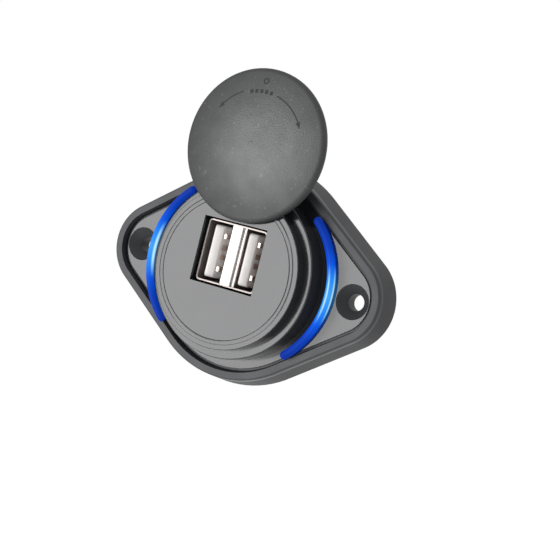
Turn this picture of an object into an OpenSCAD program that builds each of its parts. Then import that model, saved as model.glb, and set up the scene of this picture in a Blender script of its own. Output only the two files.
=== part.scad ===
// Flush-mount dual USB charging socket for a vehicle panel, with a swivel cover.
// Every sub-part is drawn with the panel lying flat: x along the panel, y up the panel,
// z out of the panel's face. placed() then stands it up, so that the face looks along -Y.
// The origin is the middle of the panel's back plane.
// Sizes build on each other from the ports and the face plate outwards, so that a wider
// face plate also widens the bezel, the neck, the light guides and the panel around it.

/* [Panel] */
// Radius of the panel's end rounds, at the back edge
end_r = 10.8; // [10.4:0.1:12]
// Floor between the neck and the rim, above and below the neck
floor_w = 2.28; // [2:0.02:4]
// Floor between each screw head's seat and the rim
hole_edge = 0.6; // [0.5:0.1:2]
// Height of the recessed floor above the back plane
floor_h = 5.2; // [4.8:0.1:6]
// Thickness of the recessed floor
floor_t = 2; // [1.6:0.1:2.4]
// Height of the rim above the recessed floor
rim_rise = 1.16; // [0.8:0.02:2]
// How far the rim's outer wall leans in over its height
rim_draft = 1.1; // [0.6:0.1:1.4]
// Rounding of the rim's outer top edge
rim_round = 0.4; // [0.2:0.1:0.6]
// Inset of the rim's inner top edge from the back outline
rim_inner = 2.75; // [2.5:0.05:3]
// Inset of the recessed floor's edge from the back outline
floor_inset = 3.15; // [3.1:0.05:3.6]
// Thickness of the rim's wall at the back
rim_wall = 2.2; // [1.8:0.1:2.4]
// Width of the shadow groove at the floor's edge
groove_w = 0.5; // [0.2:0.05:0.6]
// Depth of the shadow groove
groove_d = 0.4; // [0.2:0.05:0.6]

/* [Screw holes] */
// Diameter of each screw hole
hole_d = 3.5; // [3.2:0.1:4]
// Diameter of the screw head's seat
head_d = 7.3; // [6.8:0.1:8]
// Depth of the straight part of the head's seat
head_depth = 0.2; // [0.1:0.1:0.6]
// Distance from each light guide's centre line to the head's seat
hole_gap = 0.71; // [0.7:0.01:1.6]
// Wall around the screw hole behind the floor
boss_wall = 2.5; // [1.8:0.1:2.7]
// Thickness of the ribs that tie each boss to the rim
rib_t = 1.2; // [0.8:0.1:2]

/* [Neck] */
// Width of the neck's shoulder around the bezel
shoulder_w = 1.87; // [1.7:0.01:2.6]
// Height of the neck above the recessed floor
neck_rise = 5.4; // [4.6:0.1:7]
// Rounding of the shoulder's edge
neck_round = 0.3; // [0.1:0.05:0.5]

/* [Light guides] */
// Floor between the neck and each guide's bead, at the guide's middle
guide_gap = 2.14; // [1.9:0.01:3]
// How far each guide's centre lies outside the body's axis
guide_x = 2.87; // [2.5:0.01:3.2]
// Half the angle that each guide spans
guide_span = 48.5; // [36:0.5:50]
// Radius of the guide's visible round bead
bead_r = 0.93; // [0.8:0.01:1.2]
// Height of the bead's centre above the recessed floor
bead_up = 2.33; // [1.6:0.01:3]
// Thickness of the guide's stem, which carries light up to the bead
stem_t = 0.9; // [0.8:0.1:1.2]

/* [Bezel and face] */
// Width of the bezel's flat rim outside its raised bead
bezel_rim = 1.05; // [0.8:0.05:1.6]
// Height of the bezel above the neck's shoulder
bezel_h = 2.59; // [2.2:0.01:4]
// Rounding of the bezel's front edge
bezel_round = 0.2; // [0.1:0.05:0.6]
// Width of the raised bead around the face plate
lip_w = 0.93; // [0.7:0.01:1.1]
// Height of that bead above the face
lip_h = 0.1; // [0.05:0.01:0.16]
// Width of the face plate outside the window's upper corners
plate_edge = 2.45; // [2.4:0.01:5]
// Thickness of the face plate
plate_t = 1.8; // [1.4:0.1:2]
// Width of the ledge that the face plate rests on
ledge_w = 0.65; // [0.4:0.05:0.8]
// Wall of the bezel's spigot around the face plate
spigot_wall = 0.73; // [0.6:0.01:1]
// Play between pieces that slide into each other
fit_gap = 0.05; // [0.03:0.01:0.1]
// Gap between the connector and the window's long sides
window_side = 0.44; // [0.3:0.01:0.8]
// Gap between the connector and the window's short sides
window_top = 0.35; // [0.2:0.01:0.6]
// How far the window's middle lies above the body's axis
window_y = 2.87; // [2.4:0.01:3]

/* [Cover] */
// How far the cover reaches over the bezel's flat rim
cover_lap = 0.19; // [0.1:0.01:0.8]
// Height of the cover's edge below its dome
cover_edge = 1.7; // [1.5:0.1:2.4]
// Rise of the cover's dome over its edge
cover_dome = 1.25; // [0.6:0.05:1.6]
// Rounding between the cover's dome and its edge
cover_round = 1.1; // [0.8:0.1:1.2]
// Bevel of the cover's lower edge
cover_bevel = 0.35; // [0.2:0.05:0.4]
// Gap between the face and the cover's underside
cover_gap = 0.31; // [0.25:0.01:0.6]
// Distance from the face plate's edge in to the swivel's axis
pivot_edge = 1.77; // [1.6:0.01:2]
// Angle that the cover stands open
cover_open = 177; // [0:1:180]
// Radius of the cover's swivel post
post_r = 1.2; // [1:0.05:1.3]
// Radius of the moulded hollow in the cover's underside
hollow_r = 9.6; // [6:0.1:10.5]
// Depth of that hollow
hollow_d = 0.6; // [0.3:0.1:0.8]
// Radius of the swivel's washer
washer_r = 2; // [1.8:0.1:2.1]
// Thickness of the swivel's washer
washer_t = 0.3; // [0.2:0.05:0.5]
// Height of the swivel screw's head
head_h = 1.1; // [0.8:0.1:1.4]
// Radius of the swivel screw's shank
shank_r = 0.6; // [0.4:0.05:0.7]

/* [USB ports] */
// Long side of each port's opening
port_w = 12.5; // [12.4:0.05:12.6]
// Short side of each port's opening
port_h = 5.12; // [5:0.01:5.2]
// Distance between the two ports
port_pitch = 8.4; // [8.2:0.1:8.8]
// Thickness of the connector's sheet metal
sheet_t = 0.3; // [0.2:0.05:0.35]
// Outer radius of the connector's folded corners
shell_round = 0.8; // [0.5:0.1:1]
// How far the connector's front lies below the face
port_recess = 1.4; // [1:0.1:1.7]
// Length of the connector
shell_len = 13.5; // [13:0.1:14.5]
// Width of the folded gap beside the right port
fold_gap = 0.44; // [0.3:0.02:0.6]
// Thickness of the connector's rear insulator
insulator_t = 3.5; // [3:0.1:4]
// Thickness of each tongue
tongue_t = 1.84; // [1.7:0.01:1.9]
// Gap between each tongue's edges and the port's short walls
tongue_side = 0.7; // [0.5:0.05:0.9]
// Gap between each tongue's back and the port's wall
tongue_gap = 0.9; // [0.7:0.05:1.1]
// How far each tongue's tip lies behind the connector's front
tongue_back = 1.4; // [1:0.1:2]
// Width of each contact
contact_w = 1; // [0.8:0.1:1.2]
// Thickness of each contact
contact_t = 0.25; // [0.15:0.05:0.3]
// Distance between the two inner contacts
contact_inner = 2; // [1.8:0.1:2.2]
// Distance from each inner contact to its outer one
contact_step = 2.5; // [2.3:0.1:2.7]
// Distance between the two spring fingers of a wall
finger_pitch = 7.3; // [6.4:0.1:8]
// Width of each spring finger
finger_w = 1.8; // [1.2:0.1:2.2]
// Length of each spring finger
finger_len = 5; // [4:0.1:6]
// How far each spring finger leans into the port
finger_lean = 0.55; // [0.3:0.05:0.8]
// Radius of the round contact ridge near each finger's tip
ridge_r = 0.3; // [0.2:0.05:0.4]

/* [Rear housing] */
// How far the rear collar reaches past the neck's bore
collar_lap = 1.4; // [1:0.1:1.5]
// Width of the rear collar outside the barrel
collar_w = 2.5; // [2:0.1:2.8]
// Wall of the rear barrel
barrel_wall = 1.5; // [1.2:0.1:1.8]
// Thickness of the collar
collar_t = 1.5; // [1.2:0.1:1.7]
// Radius of the four ears on the collar
ear_r = 2; // [1.8:0.1:2.2]
// Radius of the case screws' shank
case_shank_r = 0.75; // [0.6:0.05:0.85]
// Radius of the case screws' head
case_head_r = 1.5; // [1.3:0.1:1.7]
// Height of the case screws' head
case_head_h = 1; // [0.8:0.1:1.3]
// Length of the case screws below the head
case_len = 6; // [5:0.1:7]
// Thickness of the rear cap
cap_t = 2.4; // [2:0.1:4]
// Length of the rear cap's spigot
cap_spigot = 1.5; // [1:0.1:2]

/* [Electronics] */
// Thickness of the main circuit board
board_t = 1.6; // [1:0.1:1.6]
// How far the board's front edge lies below the face
board_front = 3.2; // [2.6:0.1:6]
// Gap between the board's rear edge and the rear cap's spigot
board_rear = 1.5; // [1:0.1:4]
// Gap between the connector and the parts behind it
part_front = 1; // [0.8:0.1:3]
// Gap between neighbouring parts on the board
part_gap = 0.4; // [0.3:0.1:1]
// Width of each blade terminal
blade_w = 6.3; // [6.2:0.1:6.4]
// Thickness of each blade terminal
blade_t = 0.8; // [0.7:0.05:0.9]
// Length of each blade behind the rear cap
blade_out = 8; // [7:0.1:10]
// Length of each blade's foot on the board
blade_foot = 3.5; // [3:0.1:4]
// Gap between the two blades
blade_gap = 3.5; // [3:0.1:4.2]
// Diameter of the latch hole in each blade
blade_hole = 1.7; // [1.5:0.1:1.9]
// Radius of the power inductor
coil_r = 4.2; // [3.6:0.1:4.4]
// Board beyond the power inductor
coil_side = 1.2; // [0.6:0.1:1.6]
// Height of the power inductor
coil_h = 5.5; // [4.5:0.1:6]
// Radius of each capacitor
can_r = 2.5; // [2:0.1:2.6]
// Board beyond the capacitors
can_side = 2.1; // [1.4:0.1:2.4]
// Height of each capacitor
can_h = 8; // [6:0.1:9]
// Length of the regulator chip, across the board
chip_w = 5; // [4:0.1:5.4]
// Width of the regulator chip, along the board
chip_d = 2; // [1.6:0.1:3]
// Height of the regulator chip
chip_h = 1.5; // [1:0.1:1.8]
// Thickness of each lamp board
lamp_board_t = 0.8; // [0.6:0.1:1]
// Length of each lamp board
lamp_board_len = 14; // [13:0.1:16]
// Height of each lamp
lamp_h = 0.8; // [0.6:0.1:0.9]
// Length of each lamp
lamp_len = 3; // [2.4:0.1:3.6]
// Width of each lamp
lamp_w = 1.4; // [1:0.1:1.5]
// Radius of the pins that hold the lamp boards
stake_r = 0.5; // [0.4:0.05:0.6]

/* [Hidden] */
$fn = 96;
eps = 0.01;
SIDES = [-1, 1];
CASE_ANGLES = [45, 135, 225, 315];

shell_w = port_pitch + port_h + 2 * sheet_t;
shell_h = port_w + 2 * sheet_t;
window_w = shell_w + 2 * window_side;
window_h = shell_h + 2 * window_top;
window_corner = sqrt(pow(window_w / 2, 2) + pow(window_y + window_h / 2, 2));
plate_r = window_corner + plate_edge;
bore_r = plate_r + 2 * fit_gap + spigot_wall;
ledge_r = plate_r + fit_gap - ledge_w;
spigot_r = bore_r - fit_gap;
bezel_r = plate_r + fit_gap + lip_w + bezel_rim;
neck_r = bezel_r + shoulder_w;
guide_mid = neck_r + guide_gap + bead_r;
guide_r = guide_mid - guide_x;

hole_r = hole_d / 2;
head_r = head_d / 2;
boss_r = hole_r + boss_wall;
hole_x = guide_mid + hole_gap + head_r;
mid_r = neck_r + floor_w + floor_inset;
end_x = hole_x + head_r + hole_edge + floor_inset - end_r;

under_floor = floor_h - floor_t;
groove_floor = floor_h - groove_d;
seat_cut = floor_h - head_depth;
rim_h = floor_h + rim_rise;
bead_z = floor_h + bead_up;
guide_foot = under_floor + fit_gap;
neck_h = floor_h + neck_rise;
face_h = neck_h + bezel_h;
plate_back = face_h - plate_t;

pivot_y = plate_r - pivot_edge;
cover_r = plate_r + fit_gap + lip_w + cover_lap;
cover_back = face_h + cover_gap;
washer_top = plate_back - fit_gap;
post_end = washer_top - washer_t;
screw_tip = cover_back - post_r / 4;

port_front = face_h - port_recess;
shell_back = port_front - shell_len;
insulator_front = shell_back + insulator_t;
divider_w = port_pitch - port_h;
divider_web = divider_w - fold_gap - sheet_t;
tongue_w = port_w - 2 * tongue_side;
tongue_tip = port_front - tongue_back;
finger_root = port_front - finger_len - 2 * tongue_back;
contact_outer = contact_inner / 2 + contact_step;
contact_at = [-contact_outer, -contact_inner / 2, contact_inner / 2, contact_outer];

lamp_board_top = under_floor - lamp_h;
collar_r = bore_r + collar_lap;
lamp_board_x = collar_r + 8 * fit_gap;
lamp_board_w = hole_x - boss_r - 2 * fit_gap - lamp_board_x;
lamp_x = lamp_board_x + lamp_board_w - lamp_w / 2 - 2 * fit_gap;
stake_x = lamp_board_x + 1.3;
stake_y = lamp_board_len / 2 - 1.6;

case_screw_r = (bore_r + neck_r) / 2;
collar_back = under_floor - collar_t;
barrel_r = collar_r - collar_w;
barrel_in = barrel_r - barrel_wall;
parts_front = shell_back - part_front;
can_stack = 4 * can_r + part_gap;
coil_stack = 2 * coil_r + part_gap + chip_d;
foot_top = parts_front - max(can_stack, coil_stack) - part_gap;
board_end = foot_top - blade_foot;
barrel_len = cap_spigot + board_rear - board_end;
board_x = -shell_w / 2;
board_half = sqrt(pow(barrel_in, 2) - pow(board_x - board_t, 2)) - 2 * fit_gap;
blade_x = board_x + blade_t / 2;
blade_y = (blade_w + blade_gap) / 2;
coil_y = coil_side + coil_r - board_half;
can_y = board_half - can_side - can_r;

// Stands the flat-drawn part up: z out of the face becomes -Y, and y becomes +Z
module placed() rotate([90, 0, 0]) children();

// A solid with the panel's outline, from z0 to z1, set in from the back outline
module outline_solid(z0, z1, inset0, inset1)
    hull()
        for (c = [[-end_x, end_r], [0, mid_r], [end_x, end_r]])
            translate([c[0], 0, z0])
                cylinder(h = z1 - z0, r1 = c[1] - inset0, r2 = c[1] - inset1);

// The panel's outer form: a drafted wall with a rounded top edge
module rim_solid() {
    steps = 4;
    hull()
        for (c = [[-end_x, end_r], [0, mid_r], [end_x, end_r]])
            translate([c[0], 0, 0])
                rotate_extrude()
                    polygon(concat(
                        [[0, 0], [c[1], 0]],
                        [for (i = [0:steps]) let (a = 90 * i / steps)
                            [c[1] - rim_draft - rim_round * (1 - cos(a)),
                             rim_h - rim_round * (1 - sin(a))]],
                        [[0, rim_h]]));
}

// An arc-shaped wall on a guide's centre line, with round ends
module guide_wall(side, width, z0, z1, span)
    translate([side * guide_x, 0, z0]) {
        rotate([0, 0, (side > 0 ? 0 : 180) - span])
            rotate_extrude(angle = 2 * span)
                translate([guide_r - width / 2, 0])
                    square([width, z1 - z0]);
        for (a = [-span, span])
            rotate([0, 0, (side > 0 ? 0 : 180) + a])
                translate([guide_r, 0, 0])
                    cylinder(h = z1 - z0, r = width / 2);
    }

// A screw hole with its counterbore and its cone
module screw_hole() {
    cone_h = head_r - hole_r;
    translate([0, 0, -eps]) cylinder(h = floor_h, r = hole_r);
    translate([0, 0, seat_cut]) cylinder(h = rim_h + head_d, r = head_r);
    translate([0, 0, seat_cut - cone_h])
        cylinder(h = cone_h + eps, r1 = hole_r, r2 = head_r + eps);
}

// The hollow behind the floor, around the screw bosses, their ribs and the lamp pins
module back_hollow()
    difference() {
        translate([0, 0, -eps]) outline_solid(0, under_floor + eps, rim_wall, rim_wall);
        for (s = SIDES) {
            translate([s * hole_x, 0, -1]) cylinder(h = rim_h, r = boss_r);
            translate([s * hole_x - rib_t / 2, -mid_r, -1]) cube([rib_t, 2 * mid_r, rim_h]);
            for (t = SIDES)
                translate([s * stake_x, t * stake_y, 0]) {
                    translate([0, 0, lamp_board_top])
                        cylinder(h = floor_h, r = 2 * stake_r);
                    translate([0, 0, lamp_board_top - lamp_board_t - stake_r])
                        cylinder(h = floor_h, r = stake_r);
                }
        }
    }

// The neck that rises from the floor, with a rounded shoulder
module neck()
    rotate_extrude()
        polygon(concat(
            [[0, under_floor], [neck_r, under_floor]],
            [for (i = [0:4]) let (a = 90 * i / 4)
                [neck_r - neck_round * (1 - cos(a)), neck_h - neck_round * (1 - sin(a))]],
            [[0, neck_h]]));

module flange_panel()
    color("#3a3b3d")
        difference() {
            union() {
                difference() {
                    rim_solid();
                    outline_solid(floor_h, rim_h + eps, floor_inset, rim_inner);
                    difference() {
                        outline_solid(groove_floor, floor_h + eps, floor_inset, floor_inset);
                        outline_solid(groove_floor - eps, floor_h + 2 * eps,
                            floor_inset + groove_w, floor_inset + groove_w);
                    }
                }
                neck();
            }
            translate([0, 0, -1]) cylinder(h = neck_h + 2, r = bore_r);
            back_hollow();
            for (s = SIDES) {
                translate([s * hole_x, 0, 0]) screw_hole();
                guide_wall(s, stem_t + 2 * fit_gap, under_floor - 1, floor_h + 1, guide_span);
            }
            for (a = CASE_ANGLES)
                rotate([0, 0, a])
                    translate([case_screw_r, 0, under_floor - 1])
                        cylinder(h = case_len + 1, r = case_shank_r + fit_gap);
        }

// Half of a light guide's section: a stem under a round bead
function guide_section(inner) = let (low = acos(stem_t / 2 / bead_r)) concat(
    [[inner, guide_foot - bead_z], [stem_t / 2, guide_foot - bead_z]],
    [for (i = [0:9]) let (a = -low + (90 + low) * i / 9) [bead_r * cos(a), bead_r * sin(a)]],
    [[inner, bead_r]]);

// A clear light guide: a round bead on a thin stem, which stands in a slot of the floor
module light_guide(side)
    color("#1f6dff")
        translate([side * guide_x, 0, bead_z]) {
            rotate([0, 0, (side > 0 ? 0 : 180) - guide_span])
                rotate_extrude(angle = 2 * guide_span)
                    translate([guide_r, 0])
                        for (k = [0, 1])
                            mirror([k, 0])
                                polygon(guide_section(-stem_t / 4));
            for (a = [-guide_span, guide_span])
                rotate([0, 0, (side > 0 ? 0 : 180) + a])
                    translate([guide_r, 0, 0])
                        rotate_extrude()
                            polygon(guide_section(0));
        }

// The bezel: a rounded ring over the shoulder, with a spigot down the bore
module front_bezel()
    color("#333436")
        difference() {
            rotate_extrude()
                polygon(concat(
                    [[ledge_r, under_floor], [spigot_r, under_floor], [spigot_r, neck_h],
                     [bezel_r, neck_h]],
                    [for (i = [0:5]) let (a = 90 * i / 5)
                        [bezel_r - bezel_round * (1 - cos(a)), face_h - bezel_round * (1 - sin(a))]],
                    [for (i = [0:6]) let (a = 180 * i / 6)
                        [plate_r + fit_gap + lip_w / 2 * (1 + cos(a)), face_h + lip_h * sin(a)]],
                    [[plate_r + fit_gap, plate_back], [ledge_r, plate_back]]));
            translate([0, pivot_y, under_floor - 1])
                cylinder(h = plate_back - under_floor + 1 + eps, r = washer_r + 6 * fit_gap);
        }

// The face plate, with the window for the ports and the bore for the cover's post
module face_plate()
    color("#3c3d3f")
        difference() {
            translate([0, 0, plate_back]) cylinder(h = plate_t, r = plate_r);
            translate([-window_w / 2, window_y - window_h / 2, plate_back - 1])
                cube([window_w, window_h, plate_t + 2]);
            translate([0, pivot_y, plate_back - 1])
                cylinder(h = plate_t + 2, r = post_r + fit_gap);
        }

// Puts the cover's own pieces at their open angle around the swivel's axis
module swivelled()
    translate([0, pivot_y, 0])
        rotate([0, 0, cover_open])
            translate([0, -pivot_y, 0])
                children();

// The cover's section: a bevel below, an upright edge, a round corner and a shallow dome
module cover_section() {
    dome_r = (pow(cover_r, 2) + pow(cover_dome, 2)) / (2 * cover_dome);
    dome_z = cover_edge + cover_dome - dome_r;
    corner_x = cover_r - cover_round;
    reach = dome_r - cover_round;
    corner_z = dome_z + sqrt(pow(reach, 2) - pow(corner_x, 2));
    meet = acos(corner_x / reach);
    polygon(concat(
        [[0, 0], [cover_r - cover_bevel, 0], [cover_r, cover_bevel]],
        [for (i = [0:6]) let (a = meet * i / 6)
            [corner_x + cover_round * cos(a), corner_z + cover_round * sin(a)]],
        [for (i = [1:8]) let (a = meet + (90 - meet) * i / 8)
            [i == 8 ? 0 : dome_r * cos(a), dome_z + dome_r * sin(a)]]));
}

// The cover: a slightly domed disc with its swivel post moulded on
module swivel_cover()
    color("#4a4b4c")
        swivelled() {
            difference() {
                translate([0, 0, cover_back]) rotate_extrude() cover_section();
                translate([0, 0, cover_back - 1]) cylinder(h = hollow_d + 1, r = hollow_r);
            }
            translate([0, pivot_y, 0])
                difference() {
                    translate([0, 0, post_end])
                        cylinder(h = cover_back - post_end + cover_bevel, r = post_r);
                    translate([0, 0, post_end - 1])
                        cylinder(h = screw_tip - post_end + 1, r = shank_r + fit_gap / 2);
                }
        }

module cover_washer()
    color("#b9bcbf")
        translate([0, pivot_y, post_end])
            difference() {
                cylinder(h = washer_t, r = washer_r);
                translate([0, 0, -1]) cylinder(h = washer_t + 2, r = post_r + fit_gap);
            }

module cover_screw()
    color("#8d9094")
        translate([0, pivot_y, 0]) {
            difference() {
                translate([0, 0, post_end - head_h]) cylinder(h = head_h, r = washer_r - fit_gap);
                for (a = [0, 90])
                    rotate([0, 0, a])
                        translate([-shank_r * 2, -shank_r / 3, post_end - head_h - 1])
                            cube([shank_r * 4, shank_r * 2 / 3, head_h / 2 + 1]);
            }
            translate([0, 0, post_end - head_h / 4])
                cylinder(h = screw_tip - post_end - 4 * fit_gap, r = shank_r);
        }

// An upright block with round corners, around the window's middle
module round_block(w, h, r, z0, z1)
    translate([0, window_y, z0])
        linear_extrude(height = z1 - z0)
            polygon([for (c = [[1, 1, 0], [-1, 1, 90], [-1, -1, 180], [1, -1, 270]], i = [0:4])
                let (a = c[2] + 90 * i / 4)
                    [c[0] * (w / 2 - r) + r * cos(a), c[1] * (h / 2 - r) + r * sin(a)]]);

// A pair of spring fingers, rooted at the rear and leaning towards -x, each with a round ridge
module spring_fingers(x)
    for (s = SIDES)
        translate([x, window_y + s * finger_pitch / 2 - finger_w / 2, finger_root])
            rotate([0, -atan(finger_lean / finger_len), 0]) {
                cube([sheet_t, finger_w, finger_len]);
                translate([sheet_t / 3, finger_w / 6, finger_len - 2 * ridge_r])
                    rotate([-90, 0, 0])
                        cylinder(h = finger_w * 2 / 3, r = ridge_r);
            }

// The windows that the spring fingers are cut from
module finger_windows(x)
    for (s = SIDES)
        translate([x - 1, window_y + s * finger_pitch / 2 - finger_w / 2 - sheet_t,
                finger_root + sheet_t])
            cube([sheet_t + 1.4, finger_w + 2 * sheet_t, finger_len + sheet_t]);

// The connector's folded sheet-metal shell, around both ports
module usb_shell()
    color("#d9dadb") {
        difference() {
            round_block(shell_w, shell_h, shell_round, shell_back, port_front);
            round_block(shell_w - 2 * sheet_t, port_w, shell_round - sheet_t,
                shell_back - 1, port_front + 1);
            finger_windows(shell_w / 2 - sheet_t);
        }
        spring_fingers(shell_w / 2 - sheet_t);
    }

// An upright sheet of the divider, from x0 to x1 and from z0 to z1
module divider_sheet(x0, x1, z0, z1)
    translate([x0, window_y - port_w / 2, z0])
        cube([x1 - x0, port_w, z1 - z0]);

// The folded channel that parts the two ports: two folds, so that three sheets stand up
module usb_divider()
    color("#e4e4e2") {
        left = -divider_w / 2;
        web = left + divider_web;
        difference() {
            divider_sheet(left, left + sheet_t, insulator_front, port_front);
            finger_windows(left);
        }
        divider_sheet(left, web, port_front - sheet_t, port_front);
        divider_sheet(web - sheet_t, web, insulator_front, port_front);
        divider_sheet(web - sheet_t, -left, insulator_front, insulator_front + sheet_t);
        divider_sheet(-left - sheet_t, -left, insulator_front, port_front);
        spring_fingers(left);
    }

module usb_insulator()
    color("#f2f2ef")
        round_block(shell_w - 2 * sheet_t, port_w, shell_round - sheet_t, shell_back,
            insulator_front);

// Left edge of a port's tongue
function tongue_x(side) = side * port_pitch / 2 - port_h / 2 + tongue_gap;

module usb_tongue(side)
    color("#f7f7f4")
        translate([tongue_x(side), window_y, insulator_front])
            difference() {
                translate([0, -tongue_w / 2, 0])
                    cube([tongue_t, tongue_w, tongue_tip - insulator_front]);
                for (s = SIDES)
                    translate([tongue_t / 2, s * tongue_w / 2, tongue_tip - insulator_front])
                        rotate([0, 90, 0])
                            rotate([0, 0, 45])
                                cube([tongue_t / 2, tongue_t / 2, 2 * tongue_t], center = true);
            }

module usb_contacts(side)
    color("#c8a24a")
        for (y = contact_at)
            translate([tongue_x(side) + tongue_t, window_y + y - contact_w / 2, insulator_front])
                cube([contact_t, contact_w, tongue_tip - insulator_front - contact_w]);

// The rear barrel, with the collar and ears that are screwed behind the floor
module rear_housing()
    color("#2f3031")
        difference() {
            union() {
                translate([0, 0, -barrel_len]) cylinder(h = barrel_len + under_floor, r = barrel_r);
                translate([0, 0, collar_back]) cylinder(h = collar_t, r = collar_r);
                for (a = CASE_ANGLES)
                    rotate([0, 0, a])
                        translate([case_screw_r, 0, collar_back]) cylinder(h = collar_t, r = ear_r);
            }
            translate([0, 0, -barrel_len - 1]) cylinder(h = barrel_len + floor_h + 1, r = barrel_in);
            for (a = CASE_ANGLES)
                rotate([0, 0, a])
                    translate([case_screw_r, 0, collar_back - 1])
                        cylinder(h = collar_t + 2, r = case_shank_r + 2 * fit_gap);
        }

module case_screws()
    color("#8d9094")
        for (a = CASE_ANGLES)
            rotate([0, 0, a])
                translate([case_screw_r, 0, collar_back])
                    difference() {
                        union() {
                            translate([0, 0, -case_head_h]) cylinder(h = case_head_h, r = case_head_r);
                            cylinder(h = case_len, r = case_shank_r);
                        }
                        for (b = [0, 90])
                            rotate([0, 0, b])
                                translate([-case_shank_r, -case_shank_r / 4, -case_head_h - 1])
                                    cube([2 * case_shank_r, case_shank_r / 2, case_head_h / 2 + 1]);
                    }

module rear_cap()
    color("#2b2c2d")
        difference() {
            union() {
                translate([0, 0, -barrel_len - cap_t]) cylinder(h = cap_t, r = barrel_r);
                translate([0, 0, -barrel_len - eps])
                    cylinder(h = cap_spigot + eps, r = barrel_in - fit_gap);
            }
            for (s = SIDES)
                translate([blade_x - blade_t / 2 - fit_gap, s * blade_y - blade_w / 2 - fit_gap,
                        -barrel_len - cap_t - 1])
                    cube([blade_t + 2 * fit_gap, blade_w + 2 * fit_gap, cap_t + cap_spigot + 2]);
        }

module main_board()
    color("#1e5a36")
        translate([board_x - board_t, -board_half, board_end])
            cube([board_t, 2 * board_half, face_h - board_front - board_end]);

// Drum-wound power inductor standing on the board
module power_inductor()
    color("#3b2a20")
        translate([board_x, coil_y, parts_front - coil_r])
            rotate([0, 90, 0])
                difference() {
                    cylinder(h = coil_h, r = coil_r);
                    translate([0, 0, coil_h / 5])
                        difference() {
                            cylinder(h = coil_h * 3 / 5, r = coil_r + 1);
                            translate([0, 0, -1]) cylinder(h = coil_h, r = coil_r * 3 / 4);
                        }
                }

module capacitors()
    color("#27313f")
        for (k = [0, 1])
            translate([board_x, can_y, parts_front - can_r - k * (2 * can_r + part_gap)])
                rotate([0, 90, 0])
                    cylinder(h = can_h, r = can_r);

module regulator_chip()
    color("#1b1b1d")
        translate([board_x, coil_y - chip_w / 2, parts_front - coil_stack])
            cube([chip_h, chip_w, chip_d]);

// A small board under a light guide, held by two pins of the panel
module lamp_board(side)
    color("#20603a")
        translate([0, 0, lamp_board_top - lamp_board_t])
            difference() {
                translate([side > 0 ? lamp_board_x : -lamp_board_x - lamp_board_w,
                        -lamp_board_len / 2, 0])
                    cube([lamp_board_w, lamp_board_len, lamp_board_t]);
                for (t = SIDES)
                    translate([side * stake_x, t * stake_y, -1])
                        cylinder(h = lamp_board_t + 2, r = stake_r + fit_gap);
            }

module lamp(side)
    color("#e8edf2")
        translate([side * lamp_x - lamp_w / 2, -lamp_len / 2, lamp_board_top])
            cube([lamp_w, lamp_len, lamp_h]);

// A flat blade terminal, soldered to the board and led out through the rear cap
module terminal(side)
    color("#d8c071")
        difference() {
            translate([blade_x - blade_t / 2, side * blade_y - blade_w / 2,
                    -barrel_len - cap_t - blade_out])
                cube([blade_t, blade_w, blade_out + cap_t + barrel_len + foot_top]);
            translate([blade_x - blade_t, side * blade_y, -barrel_len - cap_t - blade_out / 2])
                rotate([0, 90, 0])
                    cylinder(h = 2 * blade_t, r = blade_hole / 2);
        }

placed() flange_panel();
placed() light_guide(-1);  // light_guide_left
placed() light_guide(1);  // light_guide_right
placed() front_bezel();
placed() face_plate();
placed() swivel_cover();
placed() cover_washer();
placed() cover_screw();
placed() usb_shell();
placed() usb_divider();
placed() usb_insulator();
placed() usb_tongue(-1);  // usb_tongue_left
placed() usb_tongue(1);  // usb_tongue_right
placed() usb_contacts(-1);  // usb_contacts_left
placed() usb_contacts(1);  // usb_contacts_right
placed() rear_housing();
placed() case_screws();
placed() rear_cap();
placed() main_board();
placed() power_inductor();
placed() capacitors();
placed() regulator_chip();
placed() lamp_board(-1);  // lamp_board_left
placed() lamp_board(1);  // lamp_board_right
placed() lamp(-1);  // lamp_left
placed() lamp(1);  // lamp_right
placed() terminal(1);  // terminal_positive
placed() terminal(-1);  // terminal_negative
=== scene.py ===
import math

import bmesh
import bpy
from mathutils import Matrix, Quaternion, Vector


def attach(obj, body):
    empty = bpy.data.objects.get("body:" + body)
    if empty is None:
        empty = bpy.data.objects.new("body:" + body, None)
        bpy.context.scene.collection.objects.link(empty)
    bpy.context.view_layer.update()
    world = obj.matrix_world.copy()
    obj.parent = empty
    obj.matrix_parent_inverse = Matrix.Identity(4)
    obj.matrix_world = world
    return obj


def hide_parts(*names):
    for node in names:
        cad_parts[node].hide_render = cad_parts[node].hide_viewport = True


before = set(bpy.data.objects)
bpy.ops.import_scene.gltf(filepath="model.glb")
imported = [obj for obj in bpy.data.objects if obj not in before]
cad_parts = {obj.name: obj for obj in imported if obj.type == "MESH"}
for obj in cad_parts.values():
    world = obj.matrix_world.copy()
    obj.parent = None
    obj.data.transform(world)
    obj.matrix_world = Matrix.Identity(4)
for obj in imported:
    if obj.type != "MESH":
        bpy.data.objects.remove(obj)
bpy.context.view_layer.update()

MM = 0.001

# The part's own sizes, in millimetres, with the face looking along -Y
PIVOT_Z = 12.997
COVER_OPEN = 177.0
COVER_R = 15.937
COVER_BACK = 13.5
COVER_EDGE = 1.7
COVER_DOME = 1.25
PORT_MIDDLE = 2.87
PORT_LONG = 12.5
PORT_FRONT = 11.79
INSULATOR_FRONT = 1.79
SHEET = 0.3
TONGUE_T = 1.84
TONGUE_LONG = 11.1
TONGUE_LEFT = (-5.86, 2.42)
GUIDE_X = 2.87
GUIDE_R = 18.867
BEAD_R = 0.93
FLOOR_H = 5.2
NECK_OUT = 19.8

# Where the camera stands, what it looks at on the panel's back plane, and its roll
CAMERA_AT = (125.1, -235.1, 12.9)
CAMERA_AIM = (6.38, 0.0, 0.1)
CAMERA_ROLL = 14.15
CAMERA_LENS = 79.58
SENSOR = 36.0


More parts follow.
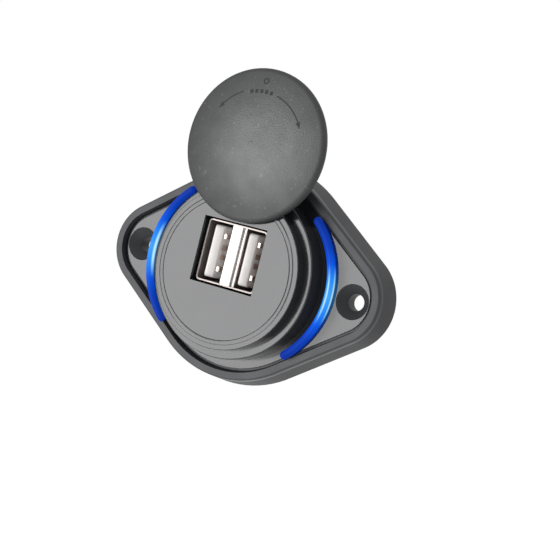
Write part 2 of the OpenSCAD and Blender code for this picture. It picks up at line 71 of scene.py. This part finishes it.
def linear(hex_colour):
    """An sRGB hex colour as linear red, green, blue and alpha."""
    parts = [int(hex_colour[i:i + 2], 16) / 255 for i in (1, 3, 5)]
    return [c / 12.92 if c <= 0.04045 else ((c + 0.055) / 1.055) ** 2.4 for c in parts] + [1.0]


def add_node(tree, kind, inputs=None, **settings):
    """A shader node with its settings, and with values or links on its inputs."""
    node = tree.nodes.new(kind)
    for key, value in settings.items():
        setattr(node, key, value)
    for socket, value in (inputs or {}).items():
        if isinstance(value, bpy.types.NodeSocket):
            tree.links.new(value, node.inputs[socket])
        else:
            node.inputs[socket].default_value = value
    return node


def new_material(name, **sockets):
    """A material with a Principled shader, its uniform values set on its own sockets."""
    material = bpy.data.materials.new(name)
    material.use_nodes = True
    shader = material.node_tree.nodes["Principled BSDF"]
    for socket, value in sockets.items():
        shader.inputs[socket.replace("_", " ")].default_value = value
    return material, material.node_tree, shader


def surface_grain(tree, shader, grain_mm, depth_mm, edge_mm=0.08):
    """A moulding or casting grain: a fine noise of that grain size, as bump, over softened edges."""
    place = add_node(tree, "ShaderNodeTexCoord").outputs["Object"]
    grain = add_node(tree, "ShaderNodeTexNoise",
                     {"Vector": place, "Scale": 1 / (grain_mm * MM), "Detail": 2.0})
    bump = add_node(tree, "ShaderNodeBump",
                    {"Height": grain.outputs["Fac"], "Strength": 1.0, "Distance": depth_mm * MM})
    if edge_mm:
        edges = add_node(tree, "ShaderNodeBevel", {"Radius": edge_mm * MM}, samples=4)
        tree.links.new(edges.outputs["Normal"], bump.inputs["Normal"])
    tree.links.new(bump.outputs["Normal"], shader.inputs["Normal"])
    return place


def varied(tree, shader, place, socket, low, high, patch_mm):
    """Lets one socket drift between two values over patches of that size."""
    patches = add_node(tree, "ShaderNodeTexNoise",
                       {"Vector": place, "Scale": 1 / (patch_mm * MM), "Detail": 3.0})
    ramp = add_node(tree, "ShaderNodeMapRange",
                    {"Value": patches.outputs["Fac"], "From Min": 0.3, "From Max": 0.7,
                     "To Min": low, "To Max": high})
    tree.links.new(ramp.outputs["Result"], shader.inputs[socket])
    return ramp.outputs["Result"]


def varied_colour(tree, shader, place, dark, light, patch_mm):
    """Lets the base colour drift between two hex colours over patches of that size."""
    patches = add_node(tree, "ShaderNodeTexNoise",
                       {"Vector": place, "Scale": 1 / (patch_mm * MM), "Detail": 4.0})
    ramp = add_node(tree, "ShaderNodeValToRGB", {"Fac": patches.outputs["Fac"]})
    ramp.color_ramp.elements[0].position = 0.3
    ramp.color_ramp.elements[0].color = linear(dark)
    ramp.color_ramp.elements[1].position = 0.7
    ramp.color_ramp.elements[1].color = linear(light)
    tree.links.new(ramp.outputs["Color"], shader.inputs["Base Color"])
    return ramp.outputs["Color"]


def satin_share(tree, place):
    """How satin the panel is: fully on its rim and outer walls, a little on its floor, not on its neck."""
    axes = add_node(tree, "ShaderNodeSeparateXYZ", {"Vector": place})
    on_floor = add_node(tree, "ShaderNodeMath",
                        {0: axes.outputs["Y"], 1: -FLOOR_H * MM, 2: 0.3 * MM}, operation="COMPARE")
    flat = add_node(tree, "ShaderNodeCombineXYZ", {"X": axes.outputs["X"], "Y": axes.outputs["Z"]})
    radius = add_node(tree, "ShaderNodeVectorMath", {0: flat.outputs["Vector"]}, operation="LENGTH")
    outside = add_node(tree, "ShaderNodeMath",
                       {0: radius.outputs["Value"], 1: NECK_OUT * MM}, operation="GREATER_THAN")
    share = add_node(tree, "ShaderNodeMath",
                     {0: on_floor.outputs["Value"], 1: -0.86, 2: 1.0}, operation="MULTIPLY_ADD")
    both = add_node(tree, "ShaderNodeMath",
                    {0: outside.outputs["Value"], 1: share.outputs["Value"]}, operation="MULTIPLY")
    return both.outputs["Value"]


def black_abs_moulded():
    """ABS, injection moulded: a clean gloss on the neck, and a fine satin on the rim and walls."""
    material, tree, shader = new_material("black_abs_moulded", IOR=1.53)
    place = surface_grain(tree, shader, grain_mm=0.5, depth_mm=0.0016)
    gloss = varied(tree, shader, place, "Roughness", 0.12, 0.17, patch_mm=5)
    satin = add_node(tree, "ShaderNodeMath",
                     {0: satin_share(tree, place), 1: 0.42, 2: gloss}, operation="MULTIPLY_ADD")
    tree.links.new(satin.outputs["Value"], shader.inputs["Roughness"])
    varied_colour(tree, shader, place, "#26272a", "#2d2e31", patch_mm=8)
    return material


def black_abs_polished():
    """ABS, moulded in a polished tool: glossy, so that it mirrors the softbox."""
    material, tree, shader = new_material("black_abs_polished", IOR=1.53)
    place = surface_grain(tree, shader, grain_mm=0.8, depth_mm=0.001)
    varied(tree, shader, place, "Roughness", 0.1, 0.14, patch_mm=6)
    varied_colour(tree, shader, place, "#28292c", "#2e2f32", patch_mm=8)
    return material


def cover_spark_grain():
    """ABS, moulded in a spark-eroded tool: a matte grain, with painted shade that darkens it from near its
    middle towards the rim, where the grain is also rougher.
    """
    material, tree, shader = new_material("cover_spark_grain", IOR=1.53)
    place = surface_grain(tree, shader, grain_mm=0.32, depth_mm=0.042, edge_mm=0)
    coarse = varied(tree, shader, place, "Roughness", 0.88, 0.96, patch_mm=4)
    base = varied_colour(tree, shader, place, "#353637", "#3d3e3f", patch_mm=6)
    # Painted shade: the base colour falls to about a third from near the middle out to the rim
    middle = cover_point(3, 10)
    off = add_node(tree, "ShaderNodeVectorMath",
                   {0: place, 1: (middle.x, middle.y, middle.z)}, operation="DISTANCE")
    painted_shade_falloff = add_node(tree, "ShaderNodeMapRange",
                   {"Value": off.outputs["Value"], "From Min": 6 * MM, "From Max": 20 * MM,
                    "To Min": 1.0, "To Max": 0.35})
    grit = add_node(tree, "ShaderNodeTexNoise",
                    {"Vector": place, "Scale": 1 / (0.55 * MM), "Detail": 0.0})
    flecks = add_node(tree, "ShaderNodeMapRange",
                      {"Value": grit.outputs["Fac"], "From Min": 0.72, "From Max": 0.82,
                       "To Min": 0.0, "To Max": 0.9})
    tone = add_node(tree, "ShaderNodeMath",
                    {0: painted_shade_falloff.outputs["Result"], 1: flecks.outputs["Result"]}, operation="ADD")
    shade = add_node(tree, "ShaderNodeVectorMath",
                     {0: base, "Scale": tone.outputs["Value"]}, operation="SCALE")
    tree.links.new(shade.outputs["Vector"], shader.inputs["Base Color"])
    smoother = add_node(tree, "ShaderNodeMath",
                        {0: painted_shade_falloff.outputs["Result"], 1: -0.54, 2: coarse}, operation="MULTIPLY_ADD")
    tree.links.new(smoother.outputs["Value"], shader.inputs["Roughness"])
    return material


def painted_shade_mark():
    """The cover's marks: the same ABS, smooth, and darkened with painted shade that stands in for the shaded
    foot of a shallow engraving.
    """
    material, tree, shader = new_material("painted_shade_mark", IOR=1.53, Specular_IOR_Level=0.24)
    place = surface_grain(tree, shader, grain_mm=0.3, depth_mm=0.004)
    varied(tree, shader, place, "Roughness", 0.6, 0.7, patch_mm=2)
    varied_colour(tree, shader, place, "#262728", "#2e2f30", patch_mm=2)
    return material


def glow_line(tree, across, centre_mm, width_mm):
    """One where the guide's cross position is at the centre, falling to zero over the width."""
    off = add_node(tree, "ShaderNodeMath", {0: across, 1: centre_mm * MM}, operation="SUBTRACT")
    far = add_node(tree, "ShaderNodeMath", {0: off.outputs["Value"]}, operation="ABSOLUTE")
    fall = add_node(tree, "ShaderNodeMapRange",
                    {"Value": far.outputs["Value"], "From Min": 0.0, "From Max": width_mm * MM,
                     "To Min": 1.0, "To Max": 0.0}, interpolation_type="SMOOTHSTEP")
    return fall.outputs["Result"]


def lit_acrylic(name, inner_line_mm):
    """Acrylic, moulded clear and lit blue by the lamp at its middle: palest there, deep blue at its
    ends, with two fine bright lines near the lamp where the round bead gathers the light."""
    material, tree, shader = new_material(name, IOR=1.49, Roughness=0.35, Specular_IOR_Level=0.03)
    shader.inputs["Base Color"].default_value = linear("#061f66")
    place = add_node(tree, "ShaderNodeTexCoord").outputs["Object"]
    axes = add_node(tree, "ShaderNodeSeparateXYZ", {"Vector": place})
    height = add_node(tree, "ShaderNodeMath", {0: axes.outputs["Z"]}, operation="ABSOLUTE")
    along = add_node(tree, "ShaderNodeMapRange",
                     {"Value": height.outputs["Value"], "From Min": 0.0, "From Max": 15 * MM})
    ramp = add_node(tree, "ShaderNodeValToRGB", {"Fac": along.outputs["Result"]})
    stops = [(0.0, "#46a2ea"), (0.24, "#1f86ea"), (0.44, "#074fd0"), (0.64, "#0536a0"), (1.0, "#08267e")]
    for extra in range(len(stops) - 2):
        ramp.color_ramp.elements.new(0.5)
    for element, (position, colour) in zip(ramp.color_ramp.elements, stops):
        element.position = position
        element.color = linear(colour)
    side = add_node(tree, "ShaderNodeMath", {0: axes.outputs["X"]}, operation="ABSOLUTE")
    out = add_node(tree, "ShaderNodeMath", {0: side.outputs["Value"], 1: GUIDE_X * MM}, operation="SUBTRACT")
    flat = add_node(tree, "ShaderNodeCombineXYZ", {"X": out.outputs["Value"], "Y": axes.outputs["Z"]})
    radius = add_node(tree, "ShaderNodeVectorMath", {0: flat.outputs["Vector"]}, operation="LENGTH")
    across = add_node(tree, "ShaderNodeMath", {0: radius.outputs["Value"], 1: GUIDE_R * MM},
                      operation="SUBTRACT").outputs["Value"]
    lines = add_node(tree, "ShaderNodeMath",
                     {0: glow_line(tree, across, inner_line_mm, 0.32),
                      1: glow_line(tree, across, 0.93, 0.22)}, operation="ADD")
    near = add_node(tree, "ShaderNodeMapRange",
                    {"Value": height.outputs["Value"], "From Min": 1.5 * MM, "From Max": 6.5 * MM,
                     "To Min": 1.0, "To Max": 0.0}, interpolation_type="SMOOTHSTEP")
    share = add_node(tree, "ShaderNodeMath",
                     {0: lines.outputs["Value"], 1: near.outputs["Result"]}, operation="MULTIPLY")
    mix = add_node(tree, "ShaderNodeMix",
                   {0: share.outputs["Value"], 6: ramp.outputs["Color"], 7: linear("#bdf0ff")},
                   data_type="RGBA")
    tree.links.new(mix.outputs[2], shader.inputs["Emission Color"])
    turned = add_node(tree, "ShaderNodeNewGeometry")
    facing = add_node(tree, "ShaderNodeSeparateXYZ", {"Vector": turned.outputs["Normal"]})
    front = add_node(tree, "ShaderNodeMapRange",
                     {"Value": facing.outputs["Y"], "From Min": 0.1, "From Max": -0.35,
                      "To Min": 0.12, "To Max": 1.0}, interpolation_type="SMOOTHSTEP")
    tree.links.new(front.outputs["Result"], shader.inputs["Emission Strength"])
    return material


def plated_steel_shell():
    """Steel sheet, nickel plated and stamped: its cut edges are dull and a little warm."""
    material, tree, shader = new_material("plated_steel_shell", Metallic=1.0)
    place = surface_grain(tree, shader, grain_mm=0.4, depth_mm=0.006, edge_mm=0.03)
    varied(tree, shader, place, "Roughness", 0.4, 0.5, patch_mm=2)
    varied_colour(tree, shader, place, "#87807d", "#98918e", patch_mm=3)
    return material


def tinned_steel():
    """Steel sheet, tin plated and folded: bright, slightly hazy, with fine rolling lines."""
    material, tree, shader = new_material("tinned_steel", Metallic=1.0)
    place = surface_grain(tree, shader, grain_mm=0.5, depth_mm=0.003, edge_mm=0.03)
    varied(tree, shader, place, "Roughness", 0.22, 0.3, patch_mm=3)
    varied_colour(tree, shader, place, "#c9c8c6", "#dddcda", patch_mm=4)
    return material


def bronze_spring():
    """Phosphor bronze spring, thinly plated: bright on its bends, reddish along its flats."""
    material, tree, shader = new_material("bronze_spring", Metallic=1.0)
    place = surface_grain(tree, shader, grain_mm=0.3, depth_mm=0.002, edge_mm=0.02)
    varied(tree, shader, place, "Roughness", 0.26, 0.36, patch_mm=2)
    varied_colour(tree, shader, place, "#c9b6ac", "#d8c7be", patch_mm=2)
    return material


def white_nylon():
    """Nylon, moulded white: matte and slightly translucent looking."""
    material, tree, shader = new_material("white_nylon", IOR=1.53, Subsurface_Weight=0.2,
                                          Subsurface_Scale=0.0015,
                                          Subsurface_Radius=(1.0, 0.85, 0.75))
    place = surface_grain(tree, shader, grain_mm=0.4, depth_mm=0.004)
    varied(tree, shader, place, "Roughness", 0.38, 0.48, patch_mm=3)
    varied_colour(tree, shader, place, "#ebe6e3", "#f4f0ee", patch_mm=3)
    return material


def zinc_plate():
    """Steel screw, zinc plated: cool grey and a little uneven."""
    material, tree, shader = new_material("zinc_plate", Metallic=1.0)
    place = surface_grain(tree, shader, grain_mm=0.4, depth_mm=0.004)
    varied(tree, shader, place, "Roughness", 0.28, 0.42, patch_mm=2)
    varied_colour(tree, shader, place, "#a4a7aa", "#babdbf", patch_mm=2)
    return material


def tinned_brass():
    """Brass blade, tin plated by dipping: pale, warm at its cut edges."""
    material, tree, shader = new_material("tinned_brass", Metallic=1.0)
    place = surface_grain(tree, shader, grain_mm=0.6, depth_mm=0.004)
    varied(tree, shader, place, "Roughness", 0.25, 0.4, patch_mm=3)
    varied_colour(tree, shader, place, "#c9bd9a", "#d8d3c2", patch_mm=4)
    return material


def green_solder_mask():
    """Glass-epoxy board under green solder mask: glossy over a faint weave."""
    material, tree, shader = new_material("green_solder_mask", IOR=1.5)
    place = surface_grain(tree, shader, grain_mm=0.5, depth_mm=0.004)
    varied(tree, shader, place, "Roughness", 0.25, 0.35, patch_mm=4)
    varied_colour(tree, shader, place, "#14502c", "#1b5f36", patch_mm=3)
    return material


def sintered_ferrite():
    """Ferrite, pressed and sintered: charcoal and dull."""
    material, tree, shader = new_material("sintered_ferrite", IOR=1.5)
    place = surface_grain(tree, shader, grain_mm=0.3, depth_mm=0.01)
    varied(tree, shader, place, "Roughness", 0.6, 0.75, patch_mm=2)
    varied_colour(tree, shader, place, "#2c2a2b", "#383536", patch_mm=2)
    return material


def sleeved_can():
    """Capacitor can in a shrunk PVC sleeve: dark blue and glossy."""
    material, tree, shader = new_material("sleeved_can", IOR=1.5)
    place = surface_grain(tree, shader, grain_mm=0.8, depth_mm=0.004)
    varied(tree, shader, place, "Roughness", 0.22, 0.3, patch_mm=3)
    varied_colour(tree, shader, place, "#1b2438", "#232d45", patch_mm=4)
    return material


def moulded_epoxy():
    """Chip body in filled epoxy: black and matte."""
    material, tree, shader = new_material("moulded_epoxy", IOR=1.5)
    place = surface_grain(tree, shader, grain_mm=0.25, depth_mm=0.006)
    varied(tree, shader, place, "Roughness", 0.55, 0.7, patch_mm=1)
    varied_colour(tree, shader, place, "#19191b", "#212123", patch_mm=1)
    return material


def lamp_lens():
    """Lamp of clear silicone over a lit die: pale blue and bright."""
    material, tree, shader = new_material("lamp_lens", IOR=1.45, Roughness=0.3)
    place = surface_grain(tree, shader, grain_mm=0.5, depth_mm=0.003)
    varied_colour(tree, shader, place, "#cfe4ff", "#e6f1ff", patch_mm=1)
    shader.inputs["Emission Color"].default_value = linear("#6db4ff")
    shader.inputs["Emission Strength"].default_value = 1.5
    return material


def dress(material, *nodes):
    """Gives CAD nodes a finish, and smooth shading across their shallow edges."""
    for name in nodes:
        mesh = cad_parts[name].data
        mesh.materials.clear()
        mesh.materials.append(material)
        mesh.shade_smooth()
        mesh.set_sharp_from_angle(angle=math.radians(28))


def cover_point(radius, angle, lift=0.0):
    """A point on the open cover's front, by its distance from the cover's middle and its angle."""
    dome_r = (COVER_R ** 2 + COVER_DOME ** 2) / (2 * COVER_DOME)
    sag = dome_r - math.sqrt(dome_r ** 2 - radius ** 2)
    front = COVER_BACK + COVER_EDGE + COVER_DOME - sag + lift
    turn = math.radians(COVER_OPEN)
    middle = Vector((PIVOT_Z * math.sin(turn), PIVOT_Z - PIVOT_Z * math.cos(turn)))
    a = math.radians(angle)
    x = middle.x + radius * math.cos(a)
    z = middle.y + radius * math.sin(a)
    return Vector((x, -front, z)) * MM


def strip(points_a, points_b, name):
    """A flat ribbon between two rows of points, as a mesh object."""
    mesh = bpy.data.meshes.new(name)
    count = len(points_a)
    faces = [(i, i + 1, count + i + 1, count + i) for i in range(count - 1)]
    mesh.from_pydata(list(points_a) + list(points_b), [], faces)
    return mesh


def add_piece(name, mesh, material, body="housing"):
    """Puts a finished mesh into the scene as a piece that rides on a body."""
    mesh.materials.append(material)
    piece = bpy.data.objects.new(name, mesh)
    bpy.context.scene.collection.objects.link(piece)
    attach(piece, body)
    return piece


def rounded_path(corners, radius, steps=5):
    """A path through the corners in a plane, with each inner corner turned on a radius."""
    points = [Vector(corners[0])]
    for before, at, after in zip(corners, corners[1:], corners[2:]):
        at = Vector(at)
        arrive = (at - Vector(before)).normalized()
        leave = (Vector(after) - at).normalized()
        start = at - arrive * radius
        end = at + leave * radius
        for i in range(steps + 1):
            t = i / steps
            points.append(start * (1 - t) ** 2 + at * 2 * t * (1 - t) + end * t ** 2)
    points.append(Vector(corners[-1]))
    return points


def folded_sheet(path, thickness, low, high, name):
    """A sheet of metal folded along a path of x and height, standing from low to high across it."""
    sides = []
    for i, point in enumerate(path):
        ahead = path[min(i + 1, len(path) - 1)] - path[max(i - 1, 0)]
        normal = Vector((-ahead.y, ahead.x)).normalized() * thickness / 2
        sides.append((point + normal, point - normal))
    made = bmesh.new()
    rings = []
    for left, right in sides:
        rings.append([made.verts.new(Vector((p.x, -p.y, z)) * MM)
                      for p, z in ((left, low), (left, high), (right, high), (right, low))])
    for one, two in zip(rings, rings[1:]):
        for k in range(4):
            made.faces.new((one[k], one[(k + 1) % 4], two[(k + 1) % 4], two[k]))
    made.faces.new(rings[0][::-1])
    made.faces.new(rings[-1])
    bmesh.ops.recalc_face_normals(made, faces=made.faces)
    mesh = bpy.data.meshes.new(name)
    made.to_mesh(mesh)
    made.free()
    mesh.shade_smooth()
    mesh.set_sharp_from_angle(angle=math.radians(40))
    return mesh


def merged(name, meshes):
    """Several meshes as one."""
    made = bmesh.new()
    for mesh in meshes:
        made.from_mesh(mesh)
        bpy.data.meshes.remove(mesh)
    whole = bpy.data.meshes.new(name)
    made.to_mesh(whole)
    made.free()
    whole.shade_smooth()
    whole.set_sharp_from_angle(angle=math.radians(40))
    return whole


def divider_channel(bright, dull):
    """The folded channel that parts the ports: a broad bright web, and a dull lip beside the right port."""
    half = SHEET / 2
    front = PORT_FRONT - half
    walls = rounded_path([(-1.4 + half, INSULATOR_FRONT), (-1.4 + half, front), (1.3 - half, front),
                          (1.3 - half, PORT_FRONT - 1.0), (2.0, PORT_FRONT - 1.0)], radius=0.3)
    low = PORT_MIDDLE - PORT_LONG / 2 + 0.02
    high = PORT_MIDDLE + PORT_LONG / 2 - 0.02
    meshes = [folded_sheet(walls, SHEET, low, high, "channel")]
    for side in (-1, 1):
        middle = PORT_MIDDLE + side * 3.65
        finger = rounded_path([(-1.5, 4.6), (-1.95, 8.0), (-2.2, 8.9), (-1.8, 9.7)], radius=0.35)
        meshes.append(folded_sheet(finger, 0.25, middle - 0.85, middle + 0.85, "finger"))
    piece = add_piece("divider_channel", merged("divider_channel", meshes), bright)
    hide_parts("usb_divider")
    edge = [Vector((2.05, INSULATOR_FRONT)), Vector((2.05, PORT_FRONT - 0.15))]
    add_piece("divider_lip", folded_sheet(edge, SHEET, low, high, "divider_lip"), dull)


def tongue_piece(name, node, left, material):
    """A port's tongue: a flat tongue with a rounded nose, which falls back towards its contacts."""
    tip = 11.0
    nose = [(0.0, INSULATOR_FRONT), (0.0, tip - 0.3)]
    steps = 12
    for i in range(steps + 1):
        t = i / steps
        rise = 0.3 * math.sin(math.pi * min(t * 2.5, 0.5))
        nose.append((TONGUE_T * t, tip - 0.3 + rise - 1.25 * max(0.0, t - 0.15) ** 1.7))
    nose.append((TONGUE_T, INSULATOR_FRONT))
    half = TONGUE_LONG / 2
    stations = []
    corner = 0.7
    for i in range(7):
        a = math.pi / 2 * i / 6
        stations.append((-half + corner * (1 - math.cos(a)), corner * (1 - math.sin(a))))
    stations += [(-y, drop) for y, drop in reversed(stations)]
    made = bmesh.new()
    rings = []
    for y, drop in stations:
        ring = []
        for x, z in nose:
            lowered = z - drop if z > INSULATOR_FRONT + 1 else z
            ring.append(made.verts.new(Vector((left + x, -lowered, PORT_MIDDLE + y)) * MM))
        rings.append(ring)
    count = len(nose)
    for one, two in zip(rings, rings[1:]):
        for k in range(count):
            made.faces.new((one[k], one[(k + 1) % count], two[(k + 1) % count], two[k]))
    made.faces.new(rings[0][::-1])
    made.faces.new(rings[-1])
    bmesh.ops.recalc_face_normals(made, faces=made.faces)
    mesh = bpy.data.meshes.new(name)
    made.to_mesh(mesh)
    made.free()
    mesh.shade_smooth()
    mesh.set_sharp_from_angle(angle=math.radians(50))
    piece = add_piece(name, mesh, material)
    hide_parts(node)


def contact_piece(name, node, left, material):
    """A port's four contacts: spring strips along the tongue. The outer two are the longer ones, and
    their tips curl over, so that they catch the light."""
    root = left + TONGUE_T + 0.12
    meshes = []
    for offset in (-3.5, -1.0, 1.0, 3.5):
        if abs(offset) > 2:
            corners = [(root, INSULATOR_FRONT), (root, 7.6), (root + 0.72, 9.2), (root + 0.72, 9.9),
                       (root + 0.22, 9.9)]
        else:
            corners = [(root, INSULATOR_FRONT), (root, 6.5), (root + 0.5, 8.4), (root - 0.07, 9.4)]
        middle = PORT_MIDDLE + offset
        meshes.append(folded_sheet(rounded_path(corners, radius=0.22), 0.2,
                                   middle - 0.5, middle + 0.5, "contact"))
    piece = add_piece(name, merged(name, meshes), material)
    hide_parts(node)


def join_marks(name, meshes, material):
    """Joins the cover's flat marks into one piece that rides on the cover."""
    joined = bmesh.new()
    for mesh in meshes:
        joined.from_mesh(mesh)
        bpy.data.meshes.remove(mesh)
    bmesh.ops.remove_doubles(joined, verts=joined.verts, dist=0.001 * MM)
    bmesh.ops.recalc_face_normals(joined, faces=joined.faces)
    for face in joined.faces:
        if face.normal.y > 0:
            face.normal_flip()
    mesh = bpy.data.meshes.new(name)
    joined.to_mesh(mesh)
    joined.free()
    add_piece(name, mesh, material, body="cover")


def arrow(start, end, radius, width, head):
    """A curved arrow on the cover, from one angle to another, with its head at the end."""
    lift = 0.02
    turn = math.copysign(math.degrees(head / radius), end - start)
    stop = end - turn
    steps = 14
    angles = [start + (stop - start) * i / steps for i in range(steps + 1)]
    shaft = strip([cover_point(radius - width / 2, a, lift) for a in angles],
                  [cover_point(radius + width / 2, a, lift) for a in angles], "shaft")
    points = [cover_point(radius - width * 1.9, stop, lift),
              cover_point(radius + width * 1.9, stop, lift),
              cover_point(radius, end, lift)]
    tip = bpy.data.meshes.new("tip")
    tip.from_pydata(points, [], [(0, 1, 2)])
    return [shaft, tip]


def cover_marks():
    """Two curved arrows, which say that the cover swivels both ways, and a small plain ring."""
    # The marks are flat strips a hair above the cover; their darker colour is painted shade in place of
    # relief
    dark = painted_shade_mark()
    right = arrow(74, 27, 10.9, 0.26, 1.4)
    left = arrow(116, 149, 11.3, 0.26, 1.4)
    dashes = []
    for middle in (82, 88, 94, 100, 106):
        angles = [middle - 1.8 + 1.2 * i for i in range(4)]
        dashes.append(strip([cover_point(10.55, a, 0.02) for a in angles],
                            [cover_point(11.3, a, 0.02) for a in angles], "dash"))
    ring_middle = Vector((-0.4, 13.1))
    ring_steps = 24

    def ring_row(radius):
        row = []
        for i in range(ring_steps + 1):
            a = math.tau * i / ring_steps
            spot = ring_middle + Vector((math.cos(a), math.sin(a))) * radius
            row.append(cover_point(spot.length, math.degrees(math.atan2(spot.y, spot.x)), 0.02))
        return row

    ring = strip(ring_row(0.4), ring_row(0.65), "ring")
    join_marks("cover_marks", right + left + dashes + [ring], dark)


def gate_mark(material):
    """The cover's gate mark: a low disc at its middle, where the plastic came in."""
    radii = (0.12, 0.25, 0.4, 0.55, 0.62)
    lifts = (0.012, 0.012, 0.011, 0.008, -0.01)
    count = 24
    made = bmesh.new()
    middle = made.verts.new(cover_point(0, 0, 0.012))
    rings = []
    for radius, lift in zip(radii, lifts):
        rings.append([made.verts.new(cover_point(radius, 360 * i / count, lift)) for i in range(count)])
    for i in range(count):
        made.faces.new((middle, rings[0][(i + 1) % count], rings[0][i]))
        for inner, outer in zip(rings, rings[1:]):
            made.faces.new((inner[i], inner[(i + 1) % count], outer[(i + 1) % count], outer[i]))
    bmesh.ops.recalc_face_normals(made, faces=made.faces)
    if sum(face.normal.y for face in made.faces) > 0:
        bmesh.ops.reverse_faces(made, faces=made.faces)
    mesh = bpy.data.meshes.new("cover_gate_mark")
    made.to_mesh(mesh)
    made.free()
    mesh.shade_smooth()
    add_piece("cover_gate_mark", mesh, material, body="cover")


def floor_and_backdrop():
    """A wide pale floor below the object, which stays white to the camera but takes shadows."""
    half = 3.0
    drop = -0.62
    mesh = bpy.data.meshes.new("studio_floor")
    mesh.from_pydata([(-half, -half, drop), (half, -half, drop), (half, half, drop), (-half, half, drop)],
                     [], [(0, 1, 2, 3)])
    floor = bpy.data.objects.new("studio_floor", mesh)
    bpy.context.scene.collection.objects.link(floor)
    material, tree, shader = new_material("studio_paint", Roughness=0.9)
    shader.inputs["Base Color"].default_value = linear("#f4f4f4")
    path = add_node(tree, "ShaderNodeLightPath")
    seen = add_node(tree, "ShaderNodeMath",
                    {0: path.outputs["Is Camera Ray"], 1: path.outputs["Is Glossy Ray"]}, operation="MAXIMUM")
    glow = add_node(tree, "ShaderNodeEmission", {"Color": linear("#ffffff"), "Strength": 0.6})
    none = add_node(tree, "ShaderNodeEmission", {"Strength": 0.0})
    pick = add_node(tree, "ShaderNodeMixShader",
                    {0: seen.outputs["Value"], 1: none.outputs[0], 2: glow.outputs[0]})
    total = add_node(tree, "ShaderNodeAddShader", {0: shader.outputs[0], 1: pick.outputs[0]})
    tree.links.new(total.outputs[0], tree.nodes["Material Output"].inputs["Surface"])
    mesh.materials.append(material)


def studio_world():
    """An even pale room: white to the camera and in reflections, dimmer as a light."""
    world = bpy.data.worlds.new("studio")
    world.use_nodes = True
    tree = world.node_tree
    tree.nodes.clear()
    path = add_node(tree, "ShaderNodeLightPath")
    seen = add_node(tree, "ShaderNodeMath",
                    {0: path.outputs["Is Camera Ray"], 1: path.outputs["Is Glossy Ray"]}, operation="MAXIMUM")
    strength = add_node(tree, "ShaderNodeMapRange",
                        {"Value": seen.outputs["Value"], "To Min": 0.45, "To Max": 1.0})
    back = add_node(tree, "ShaderNodeBackground",
                    {"Color": linear("#ffffff"), "Strength": strength.outputs["Result"]})
    out = add_node(tree, "ShaderNodeOutputWorld", {"Surface": back.outputs[0]})
    bpy.context.scene.world = world
    return out


def softbox(name, direction, distance, size, power):
    """A square area light that faces the object from a direction."""
    light = bpy.data.lights.new(name, "AREA")
    light.shape = "SQUARE"
    light.size = size
    light.energy = power
    lamp = bpy.data.objects.new(name, light)
    way = Vector(direction).normalized()
    lamp.location = way * distance
    lamp.rotation_mode = "QUATERNION"
    lamp.rotation_quaternion = (-way).to_track_quat("-Z", "Y")
    bpy.context.scene.collection.objects.link(lamp)


def place_camera():
    """The photograph's view: low on the right, with the camera rolled."""
    data = bpy.data.cameras.new("camera")
    data.lens = CAMERA_LENS
    data.sensor_width = SENSOR
    data.clip_start = 0.01
    camera = bpy.data.objects.new("camera", data)
    place = Vector(CAMERA_AT) * MM
    way = Vector(CAMERA_AIM) * MM - place
    camera.location = place
    camera.rotation_mode = "QUATERNION"
    roll = Quaternion((0, 0, 1), math.radians(CAMERA_ROLL))
    camera.rotation_quaternion = way.to_track_quat("-Z", "Y") @ roll
    bpy.context.scene.collection.objects.link(camera)
    bpy.context.scene.camera = camera


bpy.context.scene.view_settings.view_transform = "Standard"
place_camera()
studio_world()
floor_and_backdrop()
softbox("key_softbox", (-0.42, -0.88, -0.13), distance=0.9, size=0.7, power=8.2)

moulded = black_abs_moulded()
dress(moulded, "flange_panel", "rear_housing", "rear_cap")
polished = black_abs_polished()
dress(polished, "front_bezel", "face_plate")
grained = cover_spark_grain()
dress(grained, "swivel_cover")
gate_mark(grained)
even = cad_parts["swivel_cover"].modifiers.new("even_normals", "WEIGHTED_NORMAL")
even.keep_sharp = True
dress(lit_acrylic("lit_acrylic_left", inner_line_mm=-0.75), "light_guide_left")
dress(lit_acrylic("lit_acrylic_right", inner_line_mm=-0.1), "light_guide_right")
for side in ("left", "right"):
    # Clear acrylic: the gloss beside a guide shows the softbox through it, not its dark side
    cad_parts["light_guide_" + side].visible_glossy = False
shell_steel = plated_steel_shell()
dress(shell_steel, "usb_shell")
divider_channel(tinned_steel(), shell_steel)
nylon = white_nylon()
dress(nylon, "usb_insulator")
tongue_piece("tongue_left", "usb_tongue_left", TONGUE_LEFT[0], nylon)
tongue_piece("tongue_right", "usb_tongue_right", TONGUE_LEFT[1], nylon)
bronze = bronze_spring()
contact_piece("contacts_left", "usb_contacts_left", TONGUE_LEFT[0], bronze)
contact_piece("contacts_right", "usb_contacts_right", TONGUE_LEFT[1], bronze)
dress(zinc_plate(), "cover_washer", "cover_screw", "case_screws")
dress(tinned_brass(), "terminal_positive", "terminal_negative")
dress(green_solder_mask(), "main_board", "lamp_board_left", "lamp_board_right")
dress(sintered_ferrite(), "power_inductor")
dress(sleeved_can(), "capacitors")
dress(moulded_epoxy(), "regulator_chip")
dress(lamp_lens(), "lamp_left", "lamp_right")
cover_marks()
